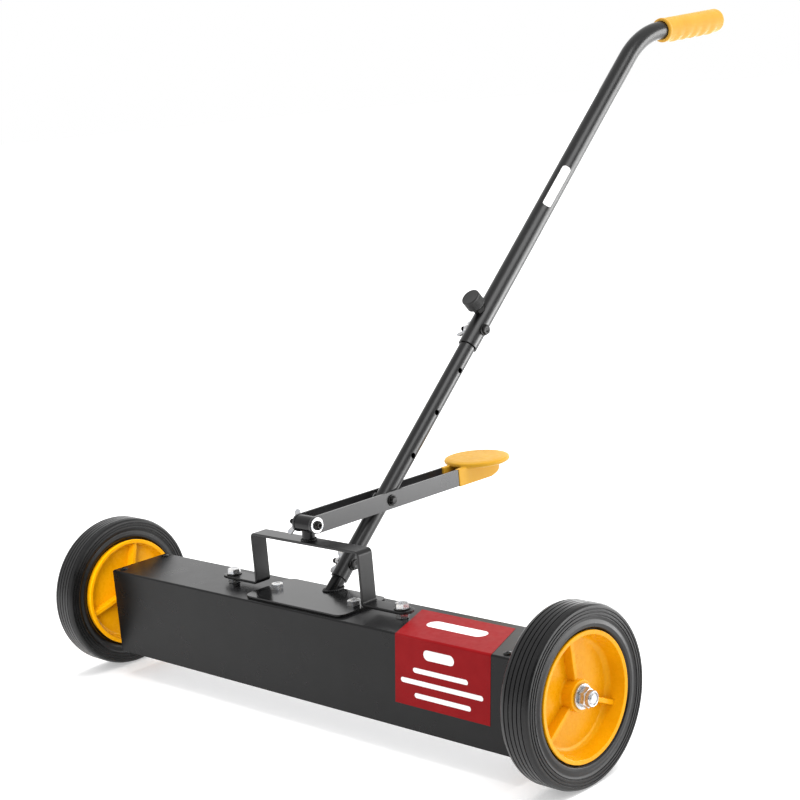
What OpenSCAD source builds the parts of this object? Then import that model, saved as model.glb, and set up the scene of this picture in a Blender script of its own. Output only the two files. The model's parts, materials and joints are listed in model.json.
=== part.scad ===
// Push-along magnetic nail sweeper with a lever that lifts its magnets.
// The origin is on the floor, midway between the wheels, under the axle.
// +X runs along the box, +Y towards the handle, +Z up. Millimetres.

/* [Box] */
// Length of the box
box_l = 610; // [560:10:660]
// Depth of the box, front to back
box_d = 80; // [78:1:90]
// Height of the box
box_h = 98.5; // [96:0.5:104]
// Gap between the box and the floor
floor_gap = 29; // [25:1:32]
// Thickness of the box's sheet steel
sheet_t = 1.5; // [1.2:0.1:2]

/* [Wheels] */
// Radius of a wheel over its tyre
wheel_r = 87.5; // [86:0.5:90]
// Width of a tyre
tyre_w = 32.6; // [30:0.2:34]
// Gap between the box's end and the near side of the hub's rim
hub_gap = 20.4; // [18:0.2:24]
// Width of the hub over its two rims
hub_w = 36.3; // [34:0.1:38]
// Radius of the rim's lip
lip_r = 62.7; // [61:0.1:64]
// Radius of the axle bolts
axle_r = 5; // [5:0.5:6]

/* [Base plate and lift bracket] */
// Length of the base plate along the box
plate_l = 152; // [148:1:160]
// Width of the base plate
plate_w = 70; // [66:1:74]
// Thickness of the base plate
plate_t = 3; // [2.5:0.5:4]
// Half the distance between the base plate's bolts
plate_bolt_x = 60; // [55:1:64]
// Width of the lift bracket's strap
strap_w = 20; // [18:1:22]
// Thickness of the lift bracket's strap
strap_t = 3; // [2.5:0.5:3]
// Half the width over the bracket's legs
leg_x = 84; // [82:1:88]
// Height of the bracket's top over the box
bracket_h = 65; // [60:1:66]
// Gap under the bracket's feet, which is the foot nuts' height
foot_gap = 6.3; // [6:0.1:7]
// Half the distance between the lift bolts
lift_bolt_x = 130.4; // [128:0.2:133]

/* [Lever] */
// Height of the lever's axes over the floor
lever_z = 210; // [208:1:213]
// Distance from the front pin back to the lever's pivot
pivot_y = 113.8; // [110:0.2:116]
// Depth of a lever bar
bar_h = 19; // [17:1:20]
// Thickness of a lever bar
bar_t = 2.5; // [2:0.5:3]
// Half the gap between the two bars
bar_gap = 11.5; // [11.5:0.1:12.5]
// Distance from the pivot back to the middle of the pad
pad_reach = 157.7; // [150:0.5:165]
// Radius of the pad
pad_r = 39; // [34:0.1:40]

/* [Handle] */
// Angle of the handle over the floor
handle_angle = 42.4; // [40:0.2:45]
// Outer radius of the lower tube
lower_r = 9.5; // [9.4:0.1:9.5]
// Outer radius of the upper tube
upper_r = 11.4; // [11.3:0.1:11.6]
// Wall thickness of both tubes
tube_wall = 1.5; // [1.4:0.1:1.6]
// Distance between two of the length holes
hole_pitch = 59.5; // [58:0.5:60]
// Angle of the grip over the floor
grip_angle = 4; // [0:1:10]
// Radius of the bend below the grip
bend_r = 120; // [100:5:130]
// Length of the grip
grip_l = 131; // [120:1:140]
// Outer radius of the grip
grip_r = 15.3; // [14.6:0.1:16]

/* [Hidden] */

$fn = 64;
eps = 1;                          // overshoot of a cutter past the face that it cuts

box_top = floor_gap + box_h;
half_l = box_l / 2;
half_d = box_d / 2;
cover_top = floor_gap + sheet_t;
end_t = 2.5;                      // end plate's sheet
end_flange = 16;                  // width of the end plate's folded flanges
end_screw_x = half_l - 9;
end_screw_y = 30.5;
end_screw_r = 2.5;

hub_mid = half_l + hub_gap + hub_w / 2;
tyre_mid = hub_mid + 2.45;        // tyre stands a little further out than the hub
seat_r = 60.5;                    // radius that the tyre sits on
lip_t = 3;                        // thickness of a rim's lip
bore_gap = 0.05;                  // running clearance in a wheel bush and at the lever's pivot
bush_r = 8;
boss_end = half_l + 50.7;         // outer face of the hub's boss
boss_start = half_l + 10.3;       // inner face of the hub's boss
axle_end = boss_end + 14.2;       // axle bolts' ends, flush with their nuts
rib_angles = [-25, 95, 215];      // round the right hub, from +Y upwards
left_spin = -20;                  // left wheel's turn against the right one

m6_r = 3;
m6_nut = 5.8;                     // half a 10 mm nut, across its corners
m8_r = 4;
m8_head = 7.5;                    // half a 13 mm head, across its corners
m10_head = 9.8;                   // half a 17 mm head, across its corners

plate_top = box_top + plate_t;
foot_z = box_top + foot_gap;
strap_top = box_top + bracket_h;
carrier_l = 580;
carrier_w = 62;
carrier_top = 56;
carrier_t = 2;
magnet_l = 70;
magnet_w = 56;
magnet_h = 20;
magnet_bottom = 32;
magnet_places = [-253, -180, -73, 0, 73, 180, 253];

sleeve_r = 9;                     // cross sleeve on the lift post
sleeve_bore_r = 7.5;              // leaves the pin room for the lever's arc
sleeve_half = bar_gap - 0.3;
post_r = 6.8;
bar_out = bar_gap + bar_t;
bar_front = 9.5;                  // bars run this far in front of the front pin
bar_back = 247;                   // bars' rear ends, hidden in the pad's body
neck_start = 223.5;               // front of the pad's body
neck_end = 302;
neck_half = 15;
neck_bottom = lever_z - 10.4;
pad_y = pivot_y + pad_reach;
pad_bottom = lever_z + 6.5;
pad_top = lever_z + 14.5;
pad_top_r = pad_r - 6;            // flat part of the pad's top
rivet_y = 236;

stub_r = lower_r - tube_wall - 0.1;
stub_top = -45;                   // along the handle, from the lever's pivot
lower_start = -104;
lower_end = 300;
stub_bolt_s = -84;
lock_s = 4 * hole_pitch;
upper_start = 213;
clamp_s = 259;
corner_s = 714;                   // along the handle, where its line meets the grip's line
bend_angle = handle_angle - grip_angle;
bend_cut = bend_r * tan(bend_angle / 2);
bend_s = corner_s - bend_cut;
grip_end = 176;                   // grip's far end, from the bend's corner
clamp_gap = 0.2;
knob_r = 11.3;
knob_h = 15;
knob_n = 19;                      // knob's near face, from the handle's axis
knob_collar = 1.6;

// ---------- shapes that repeat ----------

module rod_x(r, x0, x1, y = 0, z = 0) {
    translate([x0, y, z]) rotate([0, 90, 0]) cylinder(r = r, h = x1 - x0);
}

module ring_x(r_out, r_in, x0, x1, y = 0, z = 0) {
    difference() {
        rod_x(r_out, x0, x1, y, z);
        rod_x(r_in, x0 - eps, x1 + eps, y, z);
    }
}

module hex_x(corner_r, x0, x1) {
    translate([x0, 0, 0]) rotate([0, 90, 0]) cylinder(r = corner_r, h = x1 - x0, $fn = 6);
}

module hex_nut_x(corner_r, hole_r, x0, x1) {
    difference() {
        hex_x(corner_r, x0, x1);
        rod_x(hole_r, x0 - eps, x1 + eps);
    }
}

// Ring about Z, with its lower face at z0
module ring_z(r_out, r_in, z0, z1) {
    translate([0, 0, z0]) difference() {
        cylinder(r = r_out, h = z1 - z0);
        translate([0, 0, -eps]) cylinder(r = r_in, h = z1 - z0 + 2 * eps);
    }
}

module hex_nut_z(corner_r, hole_r, z0, z1) {
    translate([0, 0, z0]) difference() {
        cylinder(r = corner_r, h = z1 - z0, $fn = 6);
        translate([0, 0, -eps]) cylinder(r = hole_r, h = z1 - z0 + 2 * eps);
    }
}

// Moves a shape to the handle: its Y runs up the handle from the lever's pivot,
// and its Z points away from the handle, up and to the front
module on_handle() {
    translate([0, pivot_y, lever_z]) rotate([handle_angle, 0, 0]) children();
}

module rod_s(r, s0, s1) {
    translate([0, s0, 0]) rotate([-90, 0, 0]) cylinder(r = r, h = s1 - s0);
}

// A cross hole or a cross bolt through the handle, at s along it
module cross(r, s, half) {
    rod_x(r, -half, half, s, 0);
}

// Wing nut on an X axis, with its seat at x = 0 and its wings towards -X
module wing_nut(hole_r) {
    difference() {
        union() {
            rod_x(5.4, -5.5, 0);
            for (side = [-1, 1])
                translate([0, 0, side * 6]) rotate([90, 0, 0]) linear_extrude(2, center = true)
                    union() {
                        translate([-7, side * 4.5]) circle(4);
                        polygon([[-0.6, -side * 3], [-5, -side * 3], [-10.2, side * 2], [-3.6, side * 6.6]]);
                    }
        }
        rod_x(hole_r, -20, 1);
    }
}

// ---------- box ----------

module housing_shell() {
    fold_r = 2;
    color([0.13, 0.13, 0.14]) difference() {
        translate([-half_l, 0, box_top]) rotate([90, 0, 90]) linear_extrude(box_l) difference() {
            union() {
                translate([-half_d, -box_h]) square([box_d, box_h - fold_r]);
                translate([-half_d + fold_r, -fold_r]) square([box_d - 2 * fold_r, fold_r]);
                for (side = [-1, 1]) translate([side * (half_d - fold_r), -fold_r]) circle(fold_r);
            }
            translate([-half_d + sheet_t, -box_h - eps]) square([box_d - 2 * sheet_t, box_h + eps - sheet_t]);
        }
        for (x = [-lift_bolt_x, lift_bolt_x])
            translate([x, 0, box_top - 5]) cylinder(r = m8_r + 0.5, h = 10);
        for (x = [-plate_bolt_x, plate_bolt_x])
            translate([x, 0, box_top - 5]) cylinder(r = m8_r + 0.2, h = 10);
        end_screw_places() translate([0, 0, box_top - 5]) cylinder(r = end_screw_r + 0.2, h = 10);
    }
}

module end_screw_places() {
    for (x = [-end_screw_x, end_screw_x], y = [-end_screw_y, end_screw_y])
        translate([x, y, 0]) children();
}

module bottom_cover() {
    side_y = half_d - sheet_t - 0.1;
    color([0.55, 0.55, 0.56]) union() {
        translate([-half_l, -side_y, floor_gap]) cube([box_l, 2 * side_y, sheet_t]);
        for (side = [-1, 1])
            translate([0, side * (side_y - sheet_t / 2), floor_gap + 7])
                cube([box_l - 2 * end_t - 0.4, sheet_t, 14], center = true);
    }
}

module end_plate(side) {
    y_half = half_d - sheet_t - 0.1;
    z0 = cover_top;
    z1 = box_top - sheet_t;
    color([0.13, 0.13, 0.14]) mirror([side < 0 ? 1 : 0, 0, 0]) difference() {
        union() {
            translate([half_l - end_t, -y_half, z0]) cube([end_t, 2 * y_half, z1 - z0]);
            translate([half_l - end_flange, -y_half, z1 - end_t]) cube([end_flange, 2 * y_half, end_t]);
            translate([half_l - end_flange + 5, -y_half + 3, z0])
                cube([end_flange - 5, 2 * y_half - 6, end_t]);
        }
        rod_x(axle_r + 0.1, half_l - 10, half_l + 10, 0, wheel_r);
        for (y = [-end_screw_y, end_screw_y])
            translate([end_screw_x, y, z1 - 10]) cylinder(r = end_screw_r, h = 20);
    }
}

module end_plate_screws() {
    color([0.1, 0.1, 0.1]) end_screw_places() translate([0, 0, box_top]) union() {
        cylinder(r1 = 4.4, r2 = 3.4, h = 2.2);
        translate([0, 0, -7]) cylinder(r = end_screw_r, h = 7.5);
    }
}

// Puts a shape that is drawn at the right-hand wheel's axle at both ends of the box
module both_ends() {
    for (m = [0, 1]) mirror([m, 0, 0]) translate([0, 0, wheel_r]) children();
}

module axle_bolts() {
    color([0.8, 0.8, 0.82]) both_ends() union() {
        hex_x(m10_head, half_l - end_t - 6.4, half_l - end_t);
        rod_x(axle_r, half_l - end_t - 1, axle_end - 1);
        translate([axle_end - 1, 0, 0]) rotate([0, 90, 0]) cylinder(r1 = axle_r, r2 = axle_r - 1, h = 1);
    }
}

module axle_lock_nuts() {
    color([0.8, 0.8, 0.82]) both_ends() hex_nut_x(m10_head, axle_r, half_l, half_l + 8);
}

module axle_inner_washers() {
    color([0.8, 0.8, 0.82]) both_ends() ring_x(10, axle_r, half_l + 8, half_l + 10);
}

module axle_outer_washers() {
    color([0.8, 0.8, 0.82]) both_ends() ring_x(12.2, axle_r, boss_end + 0.3, boss_end + 2.3);
}

module axle_end_nuts() {
    color([0.8, 0.8, 0.82]) both_ends() union() {
        hex_nut_x(m10_head, axle_r, boss_end + 2.3, boss_end + 10);
        ring_x(8, axle_r, boss_end + 10, boss_end + 14);
    }
}

// Red wrap over the front and the top of the box, plain. Both flaps slant towards -X.
module warning_label() {
    x0 = 158;
    x1 = 283;
    label_t = 0.3;
    front_z = 55;
    front_slant = 8;
    back_y = 29;
    top_slant = 28;
    color([0.65, 0.08, 0.1]) union() {
        translate([0, -half_d, 0]) rotate([90, 0, 0]) linear_extrude(label_t) polygon([
            [x0, box_top - 2], [x0 - front_slant, front_z],
            [x1 - front_slant, front_z], [x1, box_top - 2]]);
        translate([0, 0, box_top]) linear_extrude(label_t) polygon([
            [x0, -half_d + 2], [x1, -half_d + 2], [x1 - top_slant, back_y], [x0 - top_slant, back_y]]);
        translate([x0, -half_d + 2, box_top - 2]) rotate([0, 90, 0]) difference() {
            cylinder(r = 2 + label_t, h = x1 - x0);
            translate([0, 0, -eps]) cylinder(r = 2, h = x1 - x0 + 2 * eps);
            translate([0, -5, -eps]) cube([10, 10, x1 - x0 + 2 * eps]);
            translate([-5, 0, -eps]) cube([10, 10, x1 - x0 + 2 * eps]);
        }
    }
}

// ---------- base plate and handle foot ----------

module base_plate() {
    corner_r = 10;
    color([0.12, 0.12, 0.13]) translate([0, 0, box_top]) difference() {
        linear_extrude(plate_t) union() {
            square([plate_l - 2 * corner_r, plate_w], center = true);
            square([plate_l, plate_w - 2 * corner_r], center = true);
            for (x = [-1, 1], y = [-1, 1])
                translate([x * (plate_l / 2 - corner_r), y * (plate_w / 2 - corner_r)]) circle(corner_r);
        }
        for (x = [-plate_bolt_x, plate_bolt_x])
            translate([x, 0, -eps]) cylinder(r = m8_r + 0.2, h = plate_t + 2 * eps);
    }
}

// Hex bolt pointing down, with the head's seat at z0
module hex_bolt_down(z0, length) {
    translate([0, 0, z0]) union() {
        cylinder(r = m8_head, h = 5.3, $fn = 6);
        translate([0, 0, -length]) cylinder(r = m8_r, h = length + 0.5);
    }
}

module base_plate_bolts() {
    color([0.8, 0.8, 0.82]) for (x = [-plate_bolt_x, plate_bolt_x])
        translate([x, 0, 0]) hex_bolt_down(plate_top, 15);
}

module base_plate_nuts() {
    color([0.8, 0.8, 0.82]) for (x = [-plate_bolt_x, plate_bolt_x])
        translate([x, 0, 0]) hex_nut_z(m8_head, m8_r, box_top - sheet_t - 6.5, box_top - sheet_t);
}

// Solid peg on the plate that the handle slides over
module handle_stub() {
    color([0.12, 0.12, 0.13]) difference() {
        on_handle() difference() {
            rod_s(stub_r, -150, stub_top);
            cross(m6_r + 0.1, stub_bolt_s, 20);
        }
        translate([-50, -50, plate_top - 100]) cube([100, 200, 100]);
    }
}

// Weld bead round the peg's foot
module stub_weld() {
    bead = 2.2;
    color([0.1, 0.1, 0.1]) difference() {
        intersection() {
            on_handle() rod_s(stub_r + bead, -150, -90);
            translate([-50, -50, plate_top]) cube([100, 200, bead]);
        }
        on_handle() rod_s(stub_r, -160, stub_top);
    }
}

module handle_lower_tube() {
    color([0.12, 0.12, 0.13]) on_handle() difference() {
        rod_s(lower_r, lower_start, lower_end);
        rod_s(lower_r - tube_wall, lower_start - eps, lower_end + eps);
        cross(m6_r + 0.1, stub_bolt_s, 20);
        cross(m6_r + 0.1, 0, 20);
        for (i = [1 : 4]) cross(m6_r + 0.3, i * hole_pitch, 20);
    }
}

// Cross bolt with its head on the +X side
module cross_bolt(s, seat_x, end_x, shank_x0) {
    on_handle() translate([0, s, 0]) union() {
        hex_x(m6_nut, seat_x + 0.8, seat_x + 4.6);
        rod_x(7, seat_x, seat_x + 0.8);
        rod_x(m6_r, shank_x0, seat_x + 0.5);
    }
}

module stub_bolt() {
    color([0.1, 0.1, 0.1]) cross_bolt(stub_bolt_s, lower_r + 0.2, 0, -lower_r - 11);
}

module stub_wing_nut() {
    color([0.8, 0.8, 0.82]) on_handle() translate([-lower_r - 0.2, stub_bolt_s, 0])
        rotate([20, 0, 0]) wing_nut(m6_r);
}

module lever_pivot_bolt() {
    color([0.1, 0.1, 0.1]) translate([0, pivot_y, lever_z]) union() {
        rod_x(m6_r, -bar_out - 6.5, bar_out + 0.8);
        rod_x(6.3, bar_out + 0.3, bar_out + 1.5);
        translate([bar_out + 1.5, 0, 0]) rotate([0, 90, 0]) cylinder(r1 = 5.2, r2 = 4.4, h = 3);
    }
}

module lever_pivot_nut() {
    color([0.1, 0.1, 0.1]) translate([0, pivot_y, lever_z])
        hex_nut_x(m6_nut, m6_r, -bar_out - 5.8, -bar_out - 0.3);
}

module lever_pivot_spacers() {
    color([0.8, 0.8, 0.82]) translate([0, pivot_y, lever_z]) for (m = [0, 1]) mirror([m, 0, 0])
        ring_x(6, m6_r, lower_r + 0.05, bar_gap - 0.3);
}

// Middle of the lock bolt's shank, where it lies inside the lower tube
module lock_bolt_core() {
    half = sqrt(lower_r * lower_r - m6_r * m6_r) - 0.05;
    color([0.1, 0.1, 0.1]) on_handle() cross(m6_r, lock_s, half);
}

// ---------- wheels ----------

// Hub drawn with its axle on X and its outer side towards +X
module hub_body(spin) {
    rim_in = hub_mid - hub_w / 2;
    rim_out = hub_mid + hub_w / 2;
    web_out = hub_mid - 0.5;
    web_in = web_out - 4.5;
    boss_r = 16;
    mouth_r = 58.4;
    deep_r = 54;
    difference() {
        union() {
            rotate([90, 0, 90]) rotate_extrude($fn = 96) polygon([
                [bush_r, boss_start], [boss_r - 1, boss_start], [boss_r, web_in], [deep_r, web_in],
                [mouth_r, rim_in], [lip_r, rim_in], [lip_r, rim_in + lip_t], [seat_r, rim_in + lip_t],
                [seat_r, rim_out - lip_t], [lip_r, rim_out - lip_t], [lip_r, rim_out], [mouth_r, rim_out],
                [deep_r, web_out], [boss_r, web_out], [boss_r - 0.6, boss_end], [bush_r, boss_end]]);
            for (a = rib_angles) rotate([a + spin, 0, 0]) {
                translate([web_out - 0.5, boss_r - 3, -2.7]) cube([9.5, deep_r - boss_r + 4, 5.4]);
                translate([web_in - 8.5, boss_r - 3, -2.7]) cube([9, deep_r - boss_r + 4, 5.4]);
            }
        }
        rod_x(bush_r, boss_start - eps, boss_end + eps);
    }
}

// Tyre drawn about X, with grooves in its tread and its side walls
module tyre_body() {
    half = tyre_w / 2;
    tread_grooves = [-10, -5, 0, 5, 10];
    side_grooves = [76, 79.2, 82.2];
    rotate([90, 0, 90]) translate([0, 0, tyre_mid]) rotate_extrude($fn = 96) difference() {
        polygon([
            [seat_r, -half + 5.4], [lip_r + 1, -half + 5.4], [lip_r + 3.6, -half + 4.2],
            [lip_r + 4.4, -half + 0.9], [lip_r + 7, -half], [lip_r + 10, -half + 0.7], [lip_r + 13, -half],
            [wheel_r - 2.6, -half + 0.2], [wheel_r - 0.8, -half + 2], [wheel_r, -half + 5],
            [wheel_r, half - 5], [wheel_r - 0.8, half - 2], [wheel_r - 2.6, half - 0.2],
            [lip_r + 13, half], [lip_r + 10, half - 0.7], [lip_r + 7, half],
            [lip_r + 4.4, half - 0.9], [lip_r + 3.6, half - 4.2], [lip_r + 1, half - 5.4],
            [seat_r, half - 5.4]]);
        for (x = tread_grooves) translate([wheel_r - 1.6, x - 0.7]) square([3, 1.4]);
        for (r = side_grooves, side = [-1, 1]) translate([r, side * half]) square([0.9, 1.6], center = true);
    }
}

module bush_body() {
    ring_x(bush_r, axle_r + bore_gap, boss_start, boss_end);
}

module at_wheel(side) {
    mirror([side < 0 ? 1 : 0, 0, 0]) translate([0, 0, wheel_r]) children();
}

module wheel_hub(side) {
    color([1, 0.62, 0.02]) at_wheel(side) hub_body(side < 0 ? left_spin : 0);
}

module wheel_tyre(side) {
    color([0.06, 0.06, 0.06]) at_wheel(side) tyre_body();
}

module wheel_bush(side) {
    color([0.2, 0.2, 0.2]) at_wheel(side) bush_body();
}

// ---------- magnet lift ----------

module strap_outline() {
    out_r = 5;
    in_r = out_r - strap_t;
    foot_x = lift_bolt_x + 13;
    z_foot = foot_gap;
    z_top = bracket_h;
    for (m = [0, 1]) mirror([m, 0]) {
        translate([leg_x + 1, z_foot]) square([foot_x - leg_x - 11, strap_t]);
        translate([leg_x - strap_t, z_foot + 3.5]) square([strap_t, z_top - z_foot - 3.5 - out_r]);
        translate([0, z_top - strap_t]) square([leg_x - out_r, strap_t]);
        translate([leg_x - out_r, z_top - out_r]) corner_ring(out_r, in_r);
        translate([leg_x + 1, z_foot + 4]) mirror([1, 0]) mirror([0, 1]) corner_ring(4, 1);
    }
}

// Quarter of a flat ring, in the first quadrant
module corner_ring(r_out, r_in) {
    intersection() {
        difference() {
            circle(r_out);
            circle(r_in, $fn = 32);
        }
        square(r_out + 1);
    }
}

// Hat-shaped strap with rounded feet, on the lift bolts
module lift_bracket() {
    foot_mid = lift_bolt_x + 3;
    color([0.12, 0.12, 0.13]) difference() {
        union() {
            translate([0, strap_w / 2, box_top]) rotate([90, 0, 0]) linear_extrude(strap_w) strap_outline();
            for (x = [-foot_mid, foot_mid])
                translate([x, 0, foot_z]) cylinder(r = strap_w / 2, h = strap_t);
        }
        for (x = [-lift_bolt_x, lift_bolt_x])
            translate([x, 0, foot_z - eps]) cylinder(r = m8_r + 0.1, h = strap_t + 2 * eps);
    }
}

// Short post on the bracket with the cross sleeve that the lever's front pin runs in
module lift_post() {
    color([0.12, 0.12, 0.13]) difference() {
        union() {
            translate([0, 0, strap_top]) cylinder(r = post_r, h = lever_z - strap_top);
            rod_x(sleeve_r, -sleeve_half, sleeve_half, 0, lever_z);
        }
        rod_x(sleeve_bore_r, -sleeve_half - eps, sleeve_half + eps, 0, lever_z);
    }
}

module lift_post_weld() {
    color([0.1, 0.1, 0.1]) translate([0, 0, strap_top]) difference() {
        cylinder(r1 = post_r + 2.4, r2 = post_r + 0.8, h = 2.4, $fn = 48);
        translate([0, 0, -eps]) cylinder(r = post_r, h = 5);
    }
}

module at_lift_bolts() {
    for (x = [-lift_bolt_x, lift_bolt_x]) translate([x, 0, 0]) children();
}

module lift_bolts() {
    seat_z = foot_z + strap_t + 1.2;
    color([0.8, 0.8, 0.82]) at_lift_bolts() hex_bolt_down(seat_z, seat_z - carrier_top + 10);
}

module lift_bolt_washers() {
    color([0.08, 0.08, 0.08]) at_lift_bolts() ring_z(8.5, m8_r, foot_z + strap_t, foot_z + strap_t + 1.2);
}

module lift_foot_nuts() {
    color([0.8, 0.8, 0.82]) at_lift_bolts() hex_nut_z(m8_head, m8_r, box_top + 0.1, foot_z);
}

// Steel channel that holds the magnets and closes their field upwards
module magnet_carrier() {
    color([0.45, 0.45, 0.46]) difference() {
        translate([-carrier_l / 2, -carrier_w / 2, magnet_bottom + 6])
            cube([carrier_l, carrier_w, carrier_top - magnet_bottom - 6]);
        translate([-carrier_l / 2 - eps, -carrier_w / 2 + carrier_t, 0])
            cube([carrier_l + 2 * eps, carrier_w - 2 * carrier_t, carrier_top - carrier_t]);
        at_lift_bolts() cylinder(r = m8_r + 0.1, h = 200);
    }
}

module magnets() {
    color([0.2, 0.2, 0.22]) for (x = magnet_places)
        translate([x - magnet_l / 2, -magnet_w / 2, magnet_bottom + 2])
            cube([magnet_l, magnet_w, magnet_h]);
}

module carrier_nuts() {
    color([0.8, 0.8, 0.82]) at_lift_bolts() union() {
        hex_nut_z(m8_head, m8_r, carrier_top, carrier_top + 6.5);
        hex_nut_z(m8_head, m8_r, carrier_top - carrier_t - 6.5, carrier_top - carrier_t);
    }
}

// ---------- lever ----------

// Flat bar with a round front end; side is -1 on the left and 1 on the right
module lever_bar(side) {
    color([0.3, 0.3, 0.31]) translate([side > 0 ? bar_gap : -bar_out, 0, lever_z])
        rotate([90, 0, 90]) linear_extrude(bar_t) difference() {
            union() {
                circle(bar_front);
                translate([0, -bar_h / 2]) square([bar_back, bar_h]);
            }
            circle(m6_r + 0.1);
            translate([pivot_y, 0]) circle(m6_r + bore_gap);
            translate([rivet_y, 0]) circle(2.5);
        }
}

// Moulded pad: a body that takes the bars' ends, and a round plate on top of it
// Fork round the two bars, open above between its prongs, and closed behind them under the pad
module pad_neck() {
    trough_half = 8.6;
    trough_l = 36;
    floor_t = 4;
    difference() {
        union() {
            translate([-neck_half, neck_start, neck_bottom])
                cube([2 * neck_half, neck_end - neck_half - neck_start, pad_bottom + 2 - neck_bottom]);
            translate([0, neck_end - neck_half, neck_bottom + 6])
                cylinder(r = neck_half, h = pad_bottom + 2 - neck_bottom - 6);
            translate([0, neck_end - neck_half, neck_bottom])
                cylinder(r1 = neck_half - 5, r2 = neck_half, h = 6);
        }
        translate([-trough_half, neck_start - eps, neck_bottom + floor_t])
            cube([2 * trough_half, trough_l + eps, 2 * bar_h]);
    }
}

module lever_pad() {
    slot_gap = 0.05;
    color([1, 0.7, 0.15]) difference() {
        union() {
            pad_neck();
            translate([0, pad_y, pad_bottom]) rotate_extrude($fn = 96) polygon([
                [0, 0], [pad_r - 5, 0], [pad_r - 1.6, 1.2], [pad_r, 3.8], [pad_r - 1, 6.2],
                [pad_top_r, pad_top - pad_bottom], [0, pad_top - pad_bottom]]);
        }
        for (side = [-1, 1])
            translate([side > 0 ? bar_gap - slot_gap : -bar_out - slot_gap, neck_start - eps,
                       lever_z - bar_h / 2 - slot_gap])
                cube([bar_t + 2 * slot_gap, bar_back - neck_start + eps + 0.2, bar_h + 2 * slot_gap]);
        rod_x(2.5, -neck_half - eps, neck_half + eps, rivet_y, lever_z);
    }
}

module lever_pad_rivets() {
    color([0.1, 0.1, 0.1]) rod_x(2.4, -neck_half + 0.2, neck_half - 0.2, rivet_y, lever_z);
}

module lever_front_bolt() {
    seat = bar_out + 1.4;
    color([0.1, 0.1, 0.1]) translate([0, 0, lever_z]) union() {
        rod_x(m6_r, -bar_out - 11, seat + 0.5);
        rod_x(5, seat, seat + 2);
        translate([seat + 2, 0, 0]) rotate([0, 90, 0]) cylinder(r1 = 5, r2 = 3.8, h = 2);
    }
}

module lever_front_washer() {
    color([0.8, 0.8, 0.82]) translate([0, 0, lever_z]) ring_x(8.6, m6_r, bar_out, bar_out + 1.4);
}

module lever_wing_nut() {
    color([0.8, 0.8, 0.82]) translate([-bar_out, 0, lever_z]) rotate([25, 0, 0]) wing_nut(m6_r);
}

// ---------- handle, upper half ----------

// Upper tube's centre line: straight, one bend, and straight inside the grip.
// The short core at the bend's end ties the last two runs into one solid
module upper_sweep(r, s0, tail) {
    core_inset = 0.3;
    core_half = 1.5;
    rod_s(r, s0, bend_s);
    translate([0, bend_s, -bend_r]) rotate([0, -90, 0])
        rotate_extrude(angle = bend_angle, $fn = 96) translate([bend_r, 0]) circle(r);
    after_bend() rod_s(r, 0, tail);
    after_bend() rod_s(r - core_inset, -core_half, core_half);
}

// Moves a shape to the bend's end: its Y then runs along the grip
module after_bend() {
    translate([0, bend_s, -bend_r]) rotate([-bend_angle, 0, 0]) translate([0, 0, bend_r]) children();
}

module handle_upper_tube() {
    tail = grip_end - bend_cut - 6;
    color([0.12, 0.12, 0.13]) on_handle() difference() {
        upper_sweep(upper_r, upper_start, tail);
        upper_sweep(upper_r - tube_wall, upper_start - eps, tail + eps);
        cross(m6_r + 0.1, lock_s, 20);
        translate([0, clamp_s, 0]) cylinder(r = m8_r + 0.4, h = 20);
    }
}

// Slip-on grip with finger swells on its underside and a closed far end
module handle_grip() {
    start = grip_end - bend_cut - grip_l;
    tail = grip_end - bend_cut;
    swell_pitch = 19.5;
    color([1, 0.76, 0.3]) on_handle() after_bend() difference() {
        union() {
            translate([0, start, 0]) rotate([-90, 0, 0]) rotate_extrude($fn = 64) polygon([
                [0, 0], [grip_r - 1, 0], [grip_r, 1.5], [grip_r, grip_l - 9], [grip_r - 1.8, grip_l - 4],
                [grip_r - 5, grip_l - 1], [grip_r - 9, grip_l], [0, grip_l]]);
            for (i = [1 : 5]) translate([0, start + 4 + i * swell_pitch, -5.4]) sphere(r = 11.4, $fn = 32);
        }
        rod_s(upper_r + 0.05, start - eps, tail - 5.8);
    }
}

module clamp_nut() {
    color([0.1, 0.1, 0.1]) on_handle() translate([0, clamp_s, 0]) difference() {
        hex_nut_z(7.6, m8_r + 0.4, upper_r - 1.2, upper_r + 4.8);
        rod_s(upper_r, -20, 20);
    }
}

// Head and near end of the lock bolt; its middle is lock_bolt_core
module lock_bolt() {
    near = upper_r - tube_wall + 0.15;
    color([0.1, 0.1, 0.1]) on_handle() translate([0, lock_s, 0]) difference() {
        union() {
            rod_x(m6_r, near - 2, upper_r + 0.7);
            rod_x(7, upper_r + 0.2, upper_r + 1);
            hex_x(m6_nut, upper_r + 1, upper_r + 4.8);
            rod_x(m6_r, -upper_r - 11, -near + 2);
        }
        rod_s(near, -20, 20);
    }
}

module lock_wing_nut() {
    color([0.8, 0.8, 0.82]) on_handle() translate([-upper_r - 0.2, lock_s, 0])
        rotate([-15, 0, 0]) wing_nut(m6_r);
}

module clamp_screw() {
    color([0.1, 0.1, 0.1]) on_handle() translate([0, clamp_s, lower_r + clamp_gap])
        cylinder(r = m8_r, h = knob_n + 3 - lower_r - clamp_gap);
}

module clamp_knob() {
    color([0.1, 0.1, 0.1]) on_handle() translate([0, clamp_s, knob_n]) difference() {
        union() {
            translate([0, 0, 2]) cylinder(r = knob_r, h = knob_h - 4);
            translate([0, 0, knob_h - 2]) cylinder(r1 = knob_r, r2 = knob_r - 2, h = 2);
            cylinder(r1 = knob_r - 2, r2 = knob_r, h = 2);
            translate([0, 0, -knob_collar]) cylinder(r = 6, h = knob_collar + 0.5);
        }
        translate([0, 0, -10]) cylinder(r = m8_r + bore_gap, h = 10 + 3.2);
    }
}

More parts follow.
